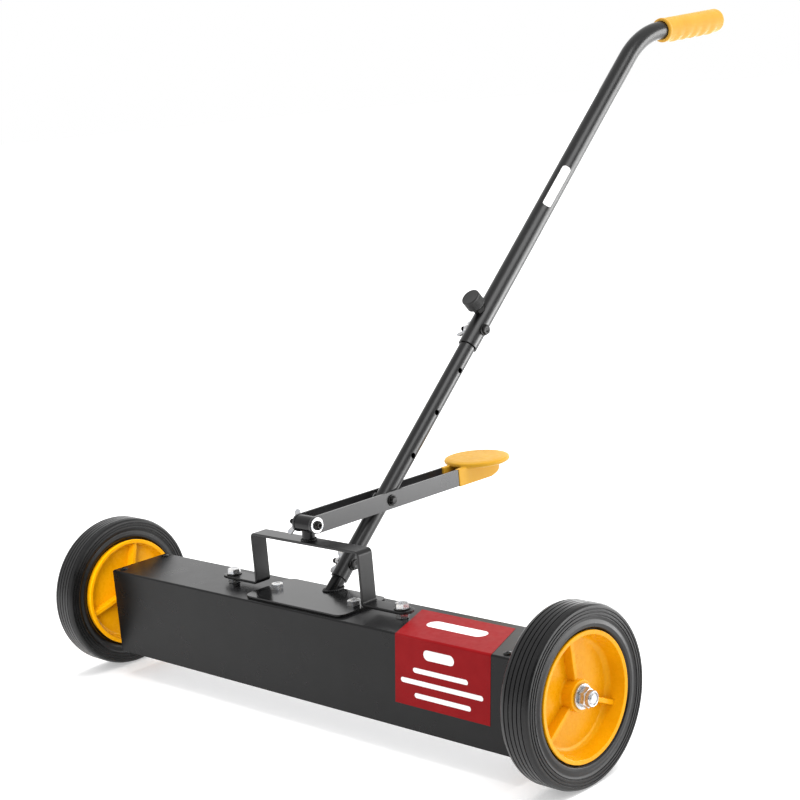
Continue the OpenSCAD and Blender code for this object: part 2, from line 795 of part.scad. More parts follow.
housing_shell();
bottom_cover();
end_plate(-1);  // end_plate_left
end_plate(1);  // end_plate_right
end_plate_screws();
axle_bolts();
axle_lock_nuts();
axle_inner_washers();
axle_outer_washers();
axle_end_nuts();
warning_label();
base_plate();
base_plate_bolts();
base_plate_nuts();
handle_stub();
stub_weld();
handle_lower_tube();
stub_bolt();
stub_wing_nut();
lever_pivot_bolt();
lever_pivot_nut();
lever_pivot_spacers();
lock_bolt_core();
wheel_hub(-1);  // wheel_hub_left
wheel_tyre(-1);  // wheel_tyre_left
wheel_bush(-1);  // wheel_bush_left
wheel_hub(1);  // wheel_hub_right
wheel_tyre(1);  // wheel_tyre_right
wheel_bush(1);  // wheel_bush_right
lift_bracket();
lift_post();
lift_post_weld();
lift_bolts();
lift_bolt_washers();
lift_foot_nuts();
magnet_carrier();
magnets();
carrier_nuts();
lever_bar(-1);  // lever_bar_left
lever_bar(1);  // lever_bar_right
lever_pad();
lever_pad_rivets();
lever_front_bolt();
lever_front_washer();
lever_wing_nut();
handle_upper_tube();
handle_grip();
clamp_nut();
lock_bolt();
lock_wing_nut();
clamp_screw();
clamp_knob();
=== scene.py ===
import json
import math

import bmesh
import bpy
from mathutils import Matrix, Vector, noise
from mathutils.geometry import tessellate_polygon

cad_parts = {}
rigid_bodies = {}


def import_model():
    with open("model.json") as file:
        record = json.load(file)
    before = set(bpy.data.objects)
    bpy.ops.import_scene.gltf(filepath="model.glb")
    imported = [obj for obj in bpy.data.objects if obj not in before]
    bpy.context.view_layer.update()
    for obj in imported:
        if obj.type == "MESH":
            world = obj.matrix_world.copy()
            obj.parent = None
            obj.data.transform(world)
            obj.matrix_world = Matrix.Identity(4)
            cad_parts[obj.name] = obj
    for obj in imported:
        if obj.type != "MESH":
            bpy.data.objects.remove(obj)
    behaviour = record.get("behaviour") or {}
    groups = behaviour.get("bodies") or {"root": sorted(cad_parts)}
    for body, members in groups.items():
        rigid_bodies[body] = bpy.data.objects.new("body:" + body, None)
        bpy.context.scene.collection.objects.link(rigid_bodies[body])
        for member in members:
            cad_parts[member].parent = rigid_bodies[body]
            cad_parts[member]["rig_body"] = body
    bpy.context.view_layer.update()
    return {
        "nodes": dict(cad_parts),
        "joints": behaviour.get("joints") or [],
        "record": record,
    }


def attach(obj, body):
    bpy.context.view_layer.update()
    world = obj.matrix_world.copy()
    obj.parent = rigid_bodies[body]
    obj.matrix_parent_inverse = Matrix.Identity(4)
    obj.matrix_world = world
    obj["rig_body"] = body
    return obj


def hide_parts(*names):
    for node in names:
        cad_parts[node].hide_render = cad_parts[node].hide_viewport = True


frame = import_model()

NODES = frame["nodes"]
JOINTS = {joint["name"]: joint for joint in frame["joints"]}
MOUNTS = {mount["name"]: mount for mount in frame["record"]["mounts"]}
SLOTS = {part["node"]: part["material_slot"] for part in frame["record"]["subparts"]}

MM = 0.001
TAU = 2 * math.pi

# Sheet, bends, tubes and welds, in millimetres
SHEET = 1.5
FOLD = 2.0
PLATE_CORNER = 10.0
STRAP_T = 3.0
STRAP_BEND = 3.5
STRAP_LEG = 84.0
TUBE_WALL = 1.5
HANDLE_BEND = 120.0
HOLE_R = 3.3
BEAD_R = 1.5
GRIP_END = 6.0

# Bolts and nuts: radius of the shank, pitch of the thread, half the width over the flats
SHANK_M6 = 3.0
PITCH_M6 = 1.0
SHANK_M8 = 4.0
PITCH_M8 = 1.25
FLATS_M8 = 6.5
NUT_M8 = 6.5
SHANK_M10 = 5.0
PITCH_M10 = 1.5
FLATS_M10 = 8.5
CHAMFER = 0.96
FLANGED_HEAD = 4.6

# The ribs' angles in degrees, and the place and length of the bar on the upper tube
RIB_ANGLES = {"right": (-25, 95, 215), "left": (-45, 75, 195)}
MARK_UP = 208.0
MARK_L = 62.0

# How far the printed bars stand proud of their ground, and how deep they reach into it
INK = 0.08
INK_ROOT = 0.1


# ---- places: local millimetres to the row frame's metres ----

def axes(x, y, z, origin=(0, 0, 0)):
    """Matrix of a local frame in millimetres, from its axes and its origin in metres."""
    turned = Matrix((x, y, z)).transposed().to_4x4()
    return Matrix.Translation(origin) @ turned @ Matrix.Scale(MM, 4)


ALONG_X = Matrix(((0, 0, 1, 0), (1, 0, 0, 0), (0, 1, 0, 0), (0, 0, 0, 1)))
ALONG_Y = Matrix(((1, 0, 0, 0), (0, 0, 1, 0), (0, 1, 0, 0), (0, 0, 0, 1)))
FLIP_X = Matrix.Scale(-1, 4, (1, 0, 0))

ROW = Matrix.Scale(MM, 4)
PIVOT = Vector(JOINTS["lever_press"]["pos_m"])
UP_HANDLE = Vector(JOINTS["handle_length"]["axis"])
OFF_HANDLE = Vector(JOINTS["clamp_knob_turn"]["axis"])
HANDLE = axes((1, 0, 0), UP_HANDLE, OFF_HANDLE, PIVOT)
LEVER = Matrix.Translation((0, 0, PIVOT.z)) @ ROW
GRIP_WAY = Vector(MOUNTS["hand_grip"]["axis"]).normalized()
GRIP = axes((1, 0, 0), GRIP_WAY, Vector((1, 0, 0)).cross(GRIP_WAY), MOUNTS["hand_grip"]["pos_m"])
AXLE_Z = JOINTS["wheel_right_spin"]["pos_m"][2]
AXLE = Matrix.Translation((0, 0, AXLE_Z)) @ ROW
SIDES = {"right": AXLE, "left": AXLE @ FLIP_X}


def extent(node, place=ROW):
    """Lowest and highest X, Y and Z of a CAD node, in millimetres of a local frame."""
    local = place.inverted()
    points = [local @ vertex.co for vertex in NODES[node].data.vertices]
    return [(min(p[i] for p in points), max(p[i] for p in points)) for i in range(3)]


def middle(span):
    return (span[0] + span[1]) / 2


# ---- shapes: points and faces, in local millimetres ----

class Shape:
    def __init__(self, points=(), faces=()):
        self.points = [Vector(p) for p in points]
        self.faces = [tuple(f) for f in faces]

    def __add__(self, other):
        start = len(self.points)
        return Shape(self.points + other.points,
                     self.faces + [tuple(i + start for i in f) for f in other.faces])

    def moved(self, *matrices):
        points = self.points
        for matrix in reversed(matrices):
            points = [matrix @ p for p in points]
        return Shape(points, self.faces)

    def at(self, x=0, y=0, z=0):
        return self.moved(Matrix.Translation((x, y, z)))

    def twinned(self):
        """Turned from Z to X, with its mirror image on the left."""
        right = self.moved(ALONG_X)
        return right + right.moved(FLIP_X)


def joined(shapes):
    whole = Shape()
    for shape in shapes:
        whole = whole + shape
    return whole


def turn(degrees, axis):
    return Matrix.Rotation(math.radians(degrees), 4, axis)


def rounded(corners, closed=True, arc=5):
    """Outline through corners (u, v) or (u, v, radius), with an arc where there is a radius."""
    flat = [Vector(c[:2]) for c in corners]
    count = len(corners)
    points = []
    for i, corner in enumerate(corners):
        at_end = not closed and i in (0, count - 1)
        radius = corner[2] if len(corner) > 2 and not at_end else 0
        if radius <= 0:
            points.append(tuple(flat[i]))
            continue
        back = (flat[i - 1] - flat[i]).normalized()
        ahead = (flat[(i + 1) % count] - flat[i]).normalized()
        half = back.angle(ahead) / 2
        centre = flat[i] + (back + ahead).normalized() * radius / math.sin(half)
        start = flat[i] + back * radius / math.tan(half) - centre
        sweep = start.angle_signed(flat[i] + ahead * radius / math.tan(half) - centre)
        for k in range(arc + 1):
            c, s = math.cos(-sweep * k / arc), math.sin(-sweep * k / arc)
            points.append((centre.x + start.x * c - start.y * s, centre.y + start.x * s + start.y * c))
    return points


def rectangle(x0, x1, y0, y1, low=0, high=None, arc=5):
    """Rectangle with the corner radius low, or with the radius high at its two y1 corners."""
    high = low if high is None else high
    return rounded([(x0, y0, low), (x1, y0, low), (x1, y1, high), (x0, y1, high)], arc=arc)


def circle(radius, steps):
    angles = [TAU * i / steps for i in range(steps)]
    return [(radius * math.cos(a), radius * math.sin(a)) for a in angles]


def loft(sections, closed=False, capped=False):
    """Skin over sections, which are lists of points; a section of one point is a pole."""
    points, rings, faces = [], [], []
    for section in sections:
        rings.append(range(len(points), len(points) + len(section)))
        points += section
    pairs = list(zip(rings, rings[1:]))
    if closed:
        pairs.append((rings[-1], rings[0]))
    for a, b in pairs:
        steps = max(len(a), len(b))
        for i in range(steps):
            j = (i + 1) % steps
            corners = [a[i % len(a)], a[j % len(a)], b[j % len(b)], b[i % len(b)]]
            faces.append(tuple(dict.fromkeys(corners)))
    if capped:
        faces += [tuple(rings[0]), tuple(rings[-1])]
    return Shape(points, faces)


def lathe(outline, steps=96, closed=False, turned=0):
    """Turns an outline of (radius, z) about Z. A radius or a z may be a function of the angle."""
    start = math.radians(turned)
    sections = []
    for radius, z in outline:
        if radius == 0:
            sections.append([(0, 0, z)])
            continue
        section = []
        for i in range(steps):
            a = TAU * i / steps
            r = radius(a) if callable(radius) else radius
            h = z(a) if callable(z) else z
            section.append((r * math.cos(a + start), r * math.sin(a + start), h))
        sections.append(section)
    return loft(sections, closed)


def prism(outline, low, high):
    """Outline in X and Y, from z = low to z = high."""
    count = len(outline)
    triangles = tessellate_polygon([[Vector((x, y, 0)) for x, y in outline]])
    points = [(x, y, z) for z in (low, high) for x, y in outline]
    faces = [tuple(t) for t in triangles] + [tuple(i + count for i in t) for t in triangles]
    for a in range(count):
        b = (a + 1) % count
        faces.append((a, b, b + count, a + count))
    return Shape(points, faces)


def rod(radius, low, high, edge=0.3, steps=48):
    """Cylinder about Z with rounded ends."""
    corners = [(0, low), (radius, low, edge), (radius, high, edge), (0, high)]
    return lathe(rounded(corners, False, 3), steps)


def hollow(radius, bore, low, high, edge=0.3, steps=64):
    """Ring or tube about Z with rounded edges."""
    corners = [(bore, low, edge), (radius, low, edge), (radius, high, edge), (bore, high, edge)]
    return lathe(rounded(corners, True, 3), steps, closed=True)


def hexagon(flat):
    """From half a hexagon's width over flats: its radius, and how far the 30 degree chamfer cuts
    down its side, both by angle."""
    def side(a):
        return flat / math.cos((a % (TAU / 6)) - TAU / 12)

    def drop(a):
        return (side(a) - CHAMFER * flat) * math.tan(math.radians(30))

    return side, drop


def nut(flat, bore, low, high, turned=0):
    """Hex nut about Z, chamfered at both faces and countersunk at its thread."""
    side, drop = hexagon(flat)
    sink = 0.5
    return lathe([
        (bore, low + sink), (bore + sink, low), (CHAMFER * flat, low),
        (side, lambda a: low + drop(a)), (side, lambda a: high - drop(a)),
        (CHAMFER * flat, high), (bore + sink, high), (bore, high - sink)], closed=True, turned=turned)


def hex_head(flat, low, high, turned=0):
    """Hex bolt head about Z, chamfered and dished on top."""
    side, drop = hexagon(flat)
    dish, sunk = 0.62 * flat, high - 0.35
    return lathe([
        (0, low), (side, low), (side, lambda a: high - drop(a)), (CHAMFER * flat, high),
        (dish, high), (dish - 0.5, sunk), (0, sunk)], turned=turned)


def thread(radius, pitch, low, high):
    """Screw thread about Z with chamfered ends, closed into a rod."""
    rows_per_pitch, steps = 6, 36
    depth = 0.55 * pitch
    count = max(2, round((high - low) / pitch * rows_per_pitch))
    sections = []
    for k in range(count + 1):
        z = low + (high - low) * k / count
        end = min(z - low, high - z)
        section = []
        for i in range(steps):
            a = TAU * i / steps
            phase = (z / pitch - i / steps) % 1
            r = radius - depth * min(1, max(0, 1.3 * abs(2 * phase - 1) - 0.15))
            r = min(r, radius - 0.8 * depth + end)
            section.append((r * math.cos(a), r * math.sin(a), z))
        sections.append(section)
    return loft([[(0, 0, low)], *sections, [(0, 0, high)]])


# ---- finishes ----

class Finish:
    """Procedural material: a Principled shader fed by noise in the part's own space."""

    def __init__(self, name, **sockets):
        self.material = bpy.data.materials.new(name)
        self.material.use_nodes = True
        self.tree = self.material.node_tree
        self.shader = self.tree.nodes["Principled BSDF"]
        for socket, value in sockets.items():
            self.shader.inputs[socket.replace("_", " ")].default_value = value
        self.space = self.tree.nodes.new("ShaderNodeTexCoord").outputs["Object"]

    def link(self, source, target):
        self.tree.links.new(source, target)

    def stretched(self, scale):
        mapping = self.tree.nodes.new("ShaderNodeMapping")
        mapping.inputs["Scale"].default_value = scale
        self.link(self.space, mapping.inputs["Vector"])
        return mapping.outputs["Vector"]

    def grain(self, size, detail=3, stretch=None):
        """Noise with features of about size millimetres."""
        node = self.tree.nodes.new("ShaderNodeTexNoise")
        node.inputs["Scale"].default_value = 1 / (size * MM)
        node.inputs["Detail"].default_value = detail
        self.link(self.stretched(stretch) if stretch else self.space, node.inputs["Vector"])
        return node.outputs["Fac"]

    def cells(self, size):
        """Rounded cells of about size millimetres."""
        node = self.tree.nodes.new("ShaderNodeTexVoronoi")
        node.feature = "SMOOTH_F1"
        node.inputs["Scale"].default_value = 1 / (size * MM)
        self.link(self.space, node.inputs["Vector"])
        return node.outputs["Distance"]

    def ramp(self, value, low, high, start=0.3, end=0.7):
        node = self.tree.nodes.new("ShaderNodeMapRange")
        node.inputs["From Min"].default_value = start
        node.inputs["From Max"].default_value = end
        node.inputs["To Min"].default_value = low
        node.inputs["To Max"].default_value = high
        self.link(value, node.inputs["Value"])
        return node.outputs["Result"]

    def mix(self, factor, a, b):
        node = self.tree.nodes.new("ShaderNodeMix")
        node.data_type = "RGBA"
        for socket, colour in ((node.inputs[6], a), (node.inputs[7], b)):
            if isinstance(colour, tuple):
                socket.default_value = (*colour, 1)
            else:
                self.link(colour, socket)
        self.link(factor, node.inputs[0])
        return node.outputs[2]

    def colour(self, factor, a, b):
        self.link(self.mix(factor, a, b), self.shader.inputs["Base Color"])

    def roughness(self, factor, low, high):
        self.link(self.ramp(factor, low, high), self.shader.inputs["Roughness"])

    def bump(self, *heights):
        """Layers of (value, depth in millimetres)."""
        normal = None
        for value, depth in heights:
            node = self.tree.nodes.new("ShaderNodeBump")
            node.inputs["Strength"].default_value = 1
            node.inputs["Distance"].default_value = depth * MM
            self.link(value, node.inputs["Height"])
            if normal:
                self.link(normal, node.inputs["Normal"])
            normal = node.outputs["Normal"]
        self.link(normal, self.shader.inputs["Normal"])


def powder_coat(name, dark, light, rough, specular):
    """Satin powder coat: faint orange peel, a fine sparkle of grain, and faint handling marks."""
    f = Finish(name, Specular_IOR_Level=specular)
    marks = f.ramp(f.grain(38, 5), 0, 1, 0.35, 0.68)
    f.colour(marks, dark, light)
    f.roughness(f.grain(22, 4), rough - 0.01, rough + 0.02)
    f.bump((f.cells(1.6), 0.003), (f.grain(0.5, 2), 0.0015))
    return f.material


def zinc_plate(name):
    """Bright zinc with a faint blue and straw tint and rolled streaks."""
    f = Finish(name, Metallic=0.82)
    f.colour(f.ramp(f.grain(3.5, 4), 0, 1), (0.42, 0.44, 0.48), (0.58, 0.56, 0.53))
    f.roughness(f.grain(1.4, 4), 0.14, 0.28)
    f.bump((f.grain(0.8, 3), 0.006), (f.grain(0.35, 2, (1, 1, 0.2)), 0.003))
    return f.material


def black_oxide(name):
    """Blackened steel, a little oily, with brown-grey bare spots."""
    f = Finish(name, Specular_IOR_Level=0.25)
    f.colour(f.ramp(f.grain(2.2, 5), 0, 1, 0.45, 0.75), (0.003, 0.003, 0.003), (0.012, 0.011, 0.01))
    f.roughness(f.grain(1.5, 3), 0.16, 0.3)
    f.bump((f.grain(0.6, 3), 0.006))
    return f.material


def plain_steel(name, dark, light, rough):
    """Rolled sheet with grain along the box."""
    f = Finish(name, Metallic=1.0)
    f.colour(f.ramp(f.grain(9, 5), 0, 1), dark, light)
    f.roughness(f.grain(1.2, 4, (0.04, 1, 1)), rough - 0.07, rough + 0.1)
    f.bump((f.grain(0.6, 3, (0.03, 1, 1)), 0.004))
    return f.material


def ferrite(name):
    """Pressed ceramic magnet: dull, dark and finely grained."""
    f = Finish(name)
    f.colour(f.ramp(f.grain(2.5, 6), 0, 1), (0.06, 0.06, 0.065), (0.11, 0.11, 0.115))
    f.roughness(f.grain(0.9, 3), 0.6, 0.8)
    f.bump((f.grain(0.5, 4), 0.03))
    return f.material


def label_film(name, dark, light):
    """Printed vinyl film, nearly matt, with a faint leather-like bump."""
    f = Finish(name, Specular_IOR_Level=0.04)
    f.colour(f.ramp(f.grain(22, 3), 0, 1), dark, light)
    f.roughness(f.grain(6, 3), 0.32, 0.42)
    f.bump((f.grain(9, 2), 0.02), (f.grain(0.7, 2), 0.002))
    return f.material


def moulded(name, dark, light, rough, bump=0.01, specular=0.5, subsurface=0.0, sheen=(1, 1, 1, 1)):
    """Injection moulded plastic: flow marks in the colour, fine mould texture."""
    f = Finish(name, Specular_IOR_Level=specular, Subsurface_Weight=subsurface, Specular_Tint=sheen)
    f.shader.inputs["Subsurface Radius"].default_value = (0.004, 0.002, 0.0006)
    flow = f.ramp(f.grain(26, 4, (1, 1, 0.5)), 0, 1)
    f.colour(flow, dark, light)
    f.roughness(f.grain(5, 4), rough - 0.05, rough + 0.08)
    f.bump((f.grain(1.1, 3), bump), (f.grain(12, 2), bump * 3))
    return f.material


def rubber(name):
    """Moulded tyre rubber with a grey bloom in its rough spots and fine mould grain."""
    f = Finish(name, Specular_IOR_Level=0.3)
    bloom = f.ramp(f.grain(16, 6), 0, 1, 0.42, 0.72)
    specks = f.ramp(f.grain(0.9, 4), 0, 1, 0.5, 0.85)
    base = f.mix(bloom, (0.003, 0.003, 0.0033), (0.006, 0.006, 0.0064))
    f.colour(specks, base, (0.016, 0.0155, 0.015))
    f.roughness(f.grain(8, 5), 0.27, 0.38)
    f.bump((f.grain(1.0, 4), 0.03), (f.cells(2.4), 0.012))
    return f.material


FINISHES = {
    "powder_coat": powder_coat("powder_coat", (0.004, 0.004, 0.0043), (0.005, 0.005, 0.0053), 0.18, 0.22),
    "lever_paint": powder_coat("lever_paint", (0.016, 0.016, 0.017), (0.02, 0.02, 0.021), 0.24, 0.42),
    "zinc": zinc_plate("zinc"),
    "black_steel": black_oxide("black_steel"),
    "cover_sheet": plain_steel("cover_sheet", (0.5, 0.5, 0.51), (0.62, 0.62, 0.63), 0.34),
    "carrier_steel": plain_steel("carrier_steel", (0.34, 0.34, 0.36), (0.46, 0.46, 0.47), 0.42),
    "ferrite": ferrite("ferrite"),
    "red_label": label_film("red_label", (0.205, 0.005, 0.007), (0.23, 0.007, 0.009)),
    "hub_plastic": moulded("hub_plastic", (0.62, 0.262, 0.001), (0.69, 0.305, 0.002), 0.26, 0.004,
                           0.35, 0.05, (1, 0.8, 0.15, 1)),
    "tyre_rubber": rubber("tyre_rubber"),
    "bush_plastic": moulded("bush_plastic", (0.02, 0.02, 0.02), (0.035, 0.035, 0.035), 0.5),
    "pad_plastic": moulded("pad_plastic", (0.48, 0.25, 0.016), (0.54, 0.285, 0.022), 0.5, 0.012, 0.3, 0.1,
                           (1, 0.8, 0.4, 1)),
    "grip_vinyl": moulded("grip_vinyl", (0.5, 0.26, 0.026), (0.56, 0.295, 0.036), 0.42, 0.016, 0.35, 0.1,
                          (1, 0.85, 0.5, 1)),
    "knob_plastic": moulded("knob_plastic", (0.007, 0.007, 0.007), (0.013, 0.013, 0.013), 0.34, 0.012, 0.5),
}
BOX_COAT = powder_coat("box_coat", (0.006, 0.006, 0.0063), (0.0075, 0.0075, 0.0078), 0.28, 0.14)
TUBE_COAT = powder_coat("tube_coat", (0.004, 0.004, 0.0042), (0.0055, 0.0055, 0.0057), 0.3, 0.32)
COATS = {
    "housing_shell": BOX_COAT,
    "handle_lower_tube": TUBE_COAT,
    "handle_upper_tube": TUBE_COAT,
    "lift_bracket": TUBE_COAT,
}
WHITE_INK = label_film("white_ink", (0.78, 0.78, 0.77), (0.86, 0.86, 0.85))


# ---- pieces ----

def new_object(name, data):
    obj = bpy.data.objects.new(name, data)
    bpy.context.scene.collection.objects.link(obj)
    return obj


def loose(shape):
    """Object with a shape's mesh, in millimetres."""
    mesh = bpy.data.meshes.new("loose")
    mesh.from_pydata(shape.points, [], shape.faces)
    work = bmesh.new()
    work.from_mesh(mesh)
    bmesh.ops.remove_doubles(work, verts=work.verts, dist=1e-4)
    bmesh.ops.recalc_face_normals(work, faces=work.faces)
    work.to_mesh(mesh)
    work.free()
    return new_object("loose", mesh)


def settle(obj):
    """Applies an object's modifiers to its mesh."""
    graph = bpy.context.evaluated_depsgraph_get()
    mesh = bpy.data.meshes.new_from_object(obj.evaluated_get(graph))
    obj.modifiers.clear()
    obj.data = mesh


def combine(obj, shape, operation):
    """Boolean of an object with a shape."""
    tool = loose(shape)
    modifier = obj.modifiers.new("boolean", "BOOLEAN")
    modifier.operation = operation
    modifier.solver = "EXACT"
    modifier.object = tool
    settle(obj)
    bpy.data.objects.remove(tool)


def melt(obj, voxel, smoothing):
    """Fuses an object's solids into one skin with soft joins."""
    remesh = obj.modifiers.new("remesh", "REMESH")
    remesh.mode = "VOXEL"
    remesh.voxel_size = voxel
    smooth = obj.modifiers.new("smooth", "SMOOTH")
    smooth.factor = 0.5
    smooth.iterations = smoothing
    settle(obj)


def bevel(obj, width, segments, limit):
    """Rounds the edges whose faces meet at more than the limit in degrees."""
    modifier = obj.modifiers.new("bevel", "BEVEL")
    modifier.width = width
    modifier.segments = segments
    modifier.limit_method = "ANGLE"
    modifier.angle_limit = math.radians(limit)
    return modifier


def finish_piece(obj, name, place, body, material, crease):
    """Moves a mesh to the row frame, smooths it up to the crease angle and puts it on a body."""
    obj.name = name
    obj.data.name = name
    obj.data.transform(place)
    if place.determinant() < 0:
        obj.data.flip_normals()
    obj.data.materials.clear()
    obj.data.materials.append(material)
    obj.data.shade_smooth()
    obj.data.set_sharp_from_angle(angle=math.radians(crease))
    weighted = obj.modifiers.new("weighted_normals", "WEIGHTED_NORMAL")
    weighted.mode = "FACE_AREA"
    weighted.weight = 50
    weighted.keep_sharp = True
    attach(obj, body)


def stand_for(node, obj, place=ROW, crease=32):
    """Puts an object in place of a CAD node, on its body and in its finish."""
    material = COATS.get(node, FINISHES[SLOTS[node]])
    finish_piece(obj, "look_" + node, place, NODES[node]["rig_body"], material, crease)
    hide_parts(node)


def piece(node, shape, place=ROW, edge=0, crease=32):
    """Stands for a CAD node with a shape, with rounded edges."""
    obj = loose(shape)
    if edge:
        bevel(obj, edge, 3, 30)
        settle(obj)
    stand_for(node, obj, place, crease)


def keep(node, edge=0.3):
    """Keeps a CAD node, with rounded edges and its finish."""
    obj = NODES[node]
    obj.data.materials.clear()
    obj.data.materials.append(FINISHES[SLOTS[node]])
    weld = obj.modifiers.new("weld", "WELD")
    weld.merge_threshold = 1e-6
    bevel(obj, edge * MM, 2, 40).harden_normals = True


# ---- box ----

def housing():
    """Folded sheet, open below."""
    (x0, x1), (y0, y1), (z0, z1) = extent("housing_shell")
    t, inside = SHEET, FOLD - SHEET
    outline = rounded([
        (y0, z0), (y0, z1, FOLD), (y1, z1, FOLD), (y1, z0),
        (y1 - t, z0), (y1 - t, z1 - t, inside), (y0 + t, z1 - t, inside), (y0 + t, z0)])
    piece("housing_shell", prism(outline, x0, x1).moved(ALONG_X), edge=0.25)


def end_screws():
    """Pan-head screws with a cross recess."""
    (x0, x1), (y0, y1), (z0, z1) = extent("end_plate_screws")
    seat = extent("housing_shell")[2][1]
    head_r, shank = 4.4, 2.5
    places = [(x, y) for x in (x0 + head_r, x1 - head_r) for y in (y0 + head_r, y1 - head_r)]
    head = lathe(rounded([
        (0, z0), (shank, z0), (shank, seat), (head_r, seat, 0.2), (head_r - 0.2, seat + 1.3, 1.1),
        (1.5, z1), (0, z1)], False), 48)
    slot_long, slot_wide = 2.3, 0.45
    slot = prism(rectangle(-slot_long, slot_long, -slot_wide, slot_wide), z1 - 1.2, z1 + 1)
    obj = loose(joined(head.at(x, y) for x, y in places))
    for angle in (25, 115):
        combine(obj, joined(slot.moved(turn(angle, "Z")).at(x, y) for x, y in places), "DIFFERENCE")
    stand_for("end_plate_screws", obj)


def label_bars():
    """Plain bars where the label's print is, on its front and on its top."""
    (x0, x1), (y0, y1), (z0, z1) = extent("warning_label")
    x = middle((x0, x1)) + 8.5

    def bar(width, height, u, v, low, high):
        half, r = width / 2, height / 2
        return prism(rectangle(u - half, u + half, v - r, v + r, r - 0.01), low, high)

    # Width, height, and height of the middle over the label's foot
    front = [(40, 10.5, 56.8), (72, 5.2, 38.6), (108, 5.2, 25.9), (74, 5.2, 12.3)]
    bars = [bar(width, height, x, z0 + up, y0 - INK, y0 + INK_ROOT).moved(ALONG_Y)
            for width, height, up in front]
    bars.append(bar(76, 17, x - 10, middle((y0, y1)) + 5, z1 - INK_ROOT, z1 + INK))
    finish_piece(loose(joined(bars)), "look_label_bars", ROW, "frame", WHITE_INK, 32)


def base_plate():
    (x0, x1), (y0, y1), (z0, z1) = extent("base_plate")
    outline = rectangle(x0, x1, y0, y1, PLATE_CORNER, arc=12)
    piece("base_plate", prism(outline, z0, z1), edge=0.5)


def hex_bolts(node, seat, turns):
    """Pair of M8 hex bolts pointing down at both ends of a node, each turned by an angle."""
    (x0, x1), _, (z0, z1) = extent(node)
    reach = FLATS_M8 / math.cos(TAU / 12)
    piece(node, joined((hex_head(FLATS_M8, seat, z1, angle) + rod(SHANK_M8, z0, seat + 0.1)).at(x)
                       for x, angle in zip((x0 + reach, x1 - reach), turns)))


def paired_nuts(node, levels=None):
    """M8 nuts at both ends of a node, at one or more levels."""
    (x0, x1), _, height = extent(node)
    reach = FLATS_M8 / math.cos(TAU / 12)
    piece(node, joined(nut(FLATS_M8, SHANK_M8, low, high).at(x)
                       for x in (x0 + reach, x1 - reach) for low, high in levels or [height]))


# ---- axles and wheels ----

def axles():
    """Everything on the two axles that doesn't turn."""
    flat, bore = FLATS_M10, SHANK_M10

    def pair(node, shape):
        piece(node, shape.twinned(), AXLE)

    wall = extent("housing_shell")[0][1]
    end = extent("axle_bolts", AXLE)[0][1]
    head, tail, washer = wall - 2.5, 14, 2
    pair("axle_bolts", hex_head(flat, 0, 6.4, 30).moved(turn(180, "X")).at(z=head)
         + rod(bore, head - 1, end - tail) + thread(bore, PITCH_M10, end - tail - 0.5, end))
    inner = extent("axle_inner_washers")[0][1]
    pair("axle_lock_nuts", nut(flat, bore, wall, inner - washer, 30))
    pair("axle_inner_washers", hollow(10, bore, inner - washer, inner))
    low = extent("axle_outer_washers")[0][1]
    pair("axle_outer_washers", hollow(12.2, bore, low - washer, low, 0.4))
    high = extent("axle_end_nuts")[0][1]
    collar = high - 4
    shoulder = collar - 0.6
    side, drop = hexagon(flat)
    pair("axle_end_nuts", lathe([
        (bore, low + 0.5), (bore + 0.5, low), (CHAMFER * flat, low), (side, lambda a: low + drop(a)),
        (side, lambda a: shoulder - drop(a)), (CHAMFER * flat, shoulder), (8, collar),
        (7.9, high - 1.1), (7.4, high - 0.3), (6.8, high), (6.2, high - 0.2), (5.7, high - 1.4),
        (bore, high - 1.4)], closed=True, turned=18))


def wheel_hub(side):
    """Dished hub with three ribs, drawn for the right-hand end."""
    node = "wheel_hub_" + side
    place = SIDES[side]
    (inner, rim_out), _, (_, lip) = extent(node, place)
    rim_width, web = 36.3, 4.5
    rim_in = rim_out - rim_width
    web_out = middle((rim_in, rim_out)) - 0.5
    web_in = web_out - web
    boss_out = extent("wheel_bush_" + side, place)[0][1]
    bore, boss, deep, mouth = 8, 16, 54, 58.4
    outline = rounded([
        (bore, inner), (boss - 1, inner, 0.8), (boss, web_in, 2), (deep, web_in, 6),
        (mouth, rim_in + 0.5, 0.6), (lip - 0.5, rim_in, 0.3), (lip, rim_in + 0.6, 0.3),
        (lip, rim_in + 3, 0.5), (lip - 2.2, rim_in + 3, 0.5), (lip - 2.2, rim_out - 3, 0.5),
        (lip, rim_out - 3, 0.5), (lip, rim_out - 0.6, 0.3), (lip - 0.5, rim_out, 0.3),
        (mouth, rim_out - 0.5, 0.6), (deep, web_out, 6.5), (boss, web_out, 2),
        (boss - 0.6, boss_out, 0.9), (bore, boss_out)])
    obj = loose(lathe(outline, 160, True).moved(ALONG_X))
    # Half widths of a rib at its root and at its crest, and the crest's fillet
    root, crest, fillet = 3.3, 2.5, 0.9
    sections = [rounded([(-root, foot), (root, foot), (crest, top, fillet), (-crest, top, fillet)])
                for foot, top in ((web_out - 0.5, web_out + 9), (web_in + 0.5, web_in - 8.5))]
    across = Matrix(((0, 1, 0, 0), (1, 0, 0, 0), (0, 0, 1, 0), (0, 0, 0, 1)))
    for section in sections:
        arm = prism(section, boss - 2.5, deep + 3).moved(across)
        for angle in RIB_ANGLES[side]:
            combine(obj, arm.moved(turn(angle - 90, "X")), "UNION")
    stand_for(node, obj, place, 28)


